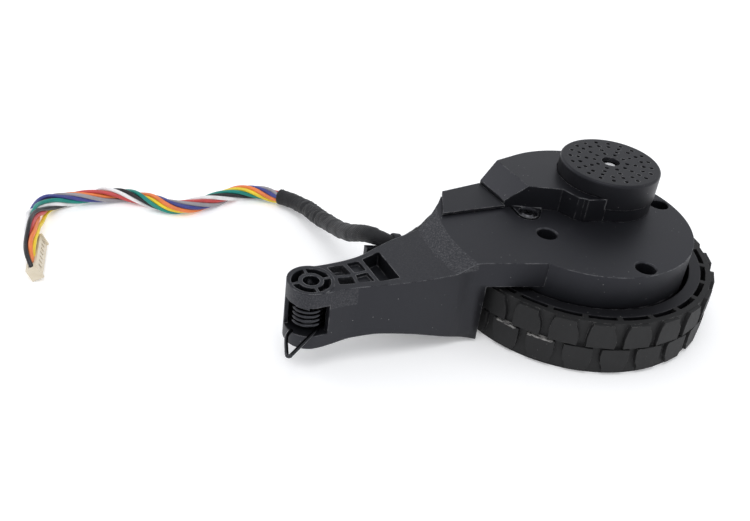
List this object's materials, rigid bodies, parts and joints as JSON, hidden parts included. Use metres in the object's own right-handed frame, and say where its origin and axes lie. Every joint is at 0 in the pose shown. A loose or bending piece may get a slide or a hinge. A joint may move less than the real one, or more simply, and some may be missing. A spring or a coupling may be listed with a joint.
{
  "type": "robot vacuum wheel module",
  "caption": "Swing arm drive wheel with a lugged tyre, reduction gears, a brushless motor under a vented cap, a torsion spring at the pivot and a wired connector.",
  "frame": {"origin": "on the pivot axis, at the lower face of the lower pivot ear", "axes": "+X from the pivot to the wheel, +Z along the pivot and wheel axes, from the tyre's outer face to the motor cap, +Y completes a right-handed frame"},
  "size_m": [0.1835, 0.1318, 0.0376],
  "materials": {
    "arm_plastic": "fine moulded grain",
    "cover_plastic": "semi gloss",
    "hub_plastic": "moulded",
    "tyre_rubber": "matt, scuffed edges",
    "spring_steel": "dark drawn wire",
    "black_steel": "blackened",
    "bright_steel": "ground",
    "gear_plastic": "natural",
    "brass": "cut",
    "bell_metal": "turned",
    "magnet": "coated",
    "lamination": "stacked sheet",
    "copper": "enamelled winding",
    "base_metal": "turned",
    "board": "circuit board",
    "tie_plastic": "moulded",
    "sleeve_fabric": "wound cloth tape",
    "wire_plastic": "insulated wires of several colours",
    "connector_plastic": "ivory",
    "contact_metal": "tinned"
  },
  "bodies": {
    "arm": {"arm_case": "arm_plastic", "gear_case_cover": "arm_plastic", "motor_cover": "cover_plastic", "motor_cap": "cover_plastic", "cable_cover": "arm_plastic", "cover_screw": "black_steel", "case_screws": "black_steel", "spring_coil": "spring_steel", "wheel_bearings": "bright_steel", "gear_axles": "bright_steel", "stator_core": "lamination", "stator_coils": "copper", "motor_base": "base_metal", "motor_bearings": "bright_steel", "sensor_board": "board", "cable_tie": "tie_plastic", "harness_sleeve": "sleeve_fabric", "wire_bundle": "wire_plastic", "connector_housing": "connector_plastic", "connector_contacts": "contact_metal"},
    "wheel": {"tyre": "tyre_rubber", "wheel_hub": "hub_plastic", "output_shaft": "bright_steel", "output_gear": "gear_plastic", "hub_screw": "bright_steel"},
    "stage_one": {"stage_one_gear": "gear_plastic"},
    "stage_two": {"stage_two_gear": "gear_plastic"},
    "rotor": {"rotor_bell": "bell_metal", "rotor_magnets": "magnet", "motor_shaft": "bright_steel", "motor_pinion": "brass"},
    "spring_leg": {"spring_leg": "spring_steel"}
  },
  "joints": [
    {"name": "wheel_spin", "type": "hinge", "parent": "arm", "child": "wheel", "pos_m": [0.0868, 0, 0], "axis": [0, 0, 1], "continuous": true},
    {"name": "stage_two_spin", "type": "hinge", "parent": "arm", "child": "stage_two", "pos_m": [0.07657, 0.01333, 0], "axis": [0, 0, 1], "continuous": true},
    {"name": "stage_one_spin", "type": "hinge", "parent": "arm", "child": "stage_one", "pos_m": [0.08839, 0.01541, 0], "axis": [0, 0, 1], "continuous": true},
    {"name": "rotor_spin", "type": "hinge", "parent": "arm", "child": "rotor", "pos_m": [0.0986, 0.0082, 0], "axis": [0, 0, 1], "continuous": true},
    {"name": "spring_leg_swing", "type": "hinge", "parent": "arm", "child": "spring_leg", "pos_m": [0, 0, 0.0047], "axis": [0, 0, 1], "range_deg": [-12, 12], "stiffness_Nm_per_rad": 0.11}
  ],
  "couplings": [
    {"joint": "stage_two_spin", "follows": "wheel_spin", "ratio": -3},
    {"joint": "stage_one_spin", "follows": "wheel_spin", "ratio": 9},
    {"joint": "rotor_spin", "follows": "wheel_spin", "ratio": -36}
  ]
}
